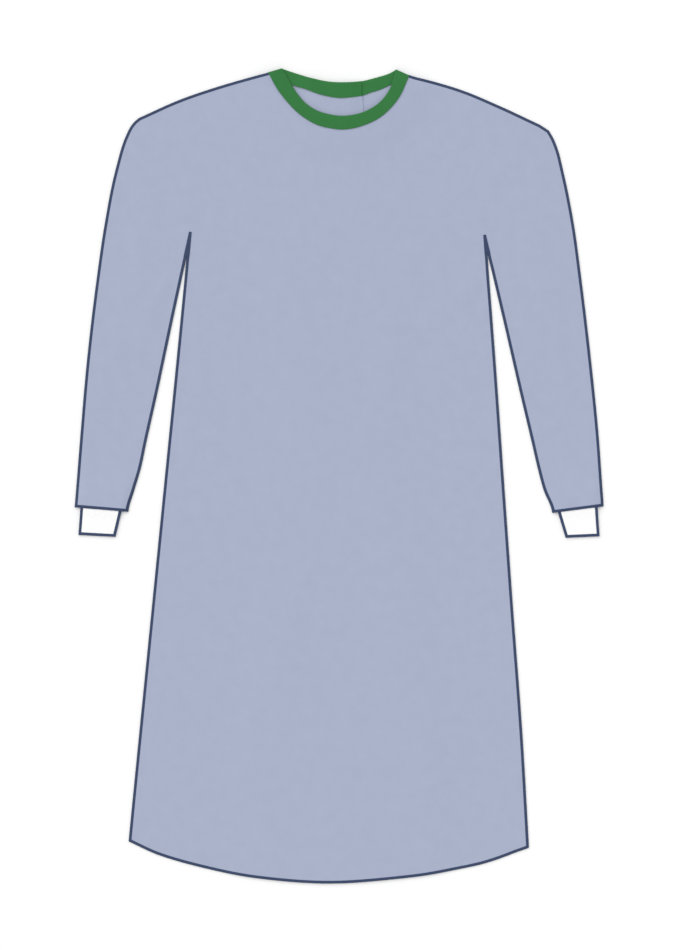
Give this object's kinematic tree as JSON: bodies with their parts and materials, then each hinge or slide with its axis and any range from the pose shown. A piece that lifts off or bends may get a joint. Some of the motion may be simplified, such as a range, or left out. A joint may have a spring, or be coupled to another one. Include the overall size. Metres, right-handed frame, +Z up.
{
  "type": "surgical gown",
  "caption": "Long-sleeved surgical gown laid flat, front up, with lapped backs, a bound round neck and rib-knit cuffs.",
  "frame": {"origin": "middle of the laid gown, on the surface that it lies on", "axes": "+Y along the gown from hem to neck; +X to the wearer's left; +Z up, out of the front"},
  "size_m": [0.8461, 1.303, 0.0088],
  "materials": {
    "body_cloth": "matte nonwoven",
    "binding_tape": "matte tape",
    "rib_knit": "matte rib knit",
    "fastener_tab": "matte napped tape"
  },
  "bodies": {
    "root": {"front_panel": "body_cloth", "back_panel_right": "body_cloth", "back_panel_left": "body_cloth", "sleeve_front_right": "body_cloth", "sleeve_back_right": "body_cloth", "sleeve_front_left": "body_cloth", "sleeve_back_left": "body_cloth", "cuff_front_right": "rib_knit", "cuff_back_right": "rib_knit", "cuff_front_left": "rib_knit", "cuff_back_left": "rib_knit", "neck_binding_front": "binding_tape", "neck_binding_back_right": "binding_tape", "neck_binding_back_left": "binding_tape", "neck_tab": "fastener_tab"}
  },
  "joints": []
}
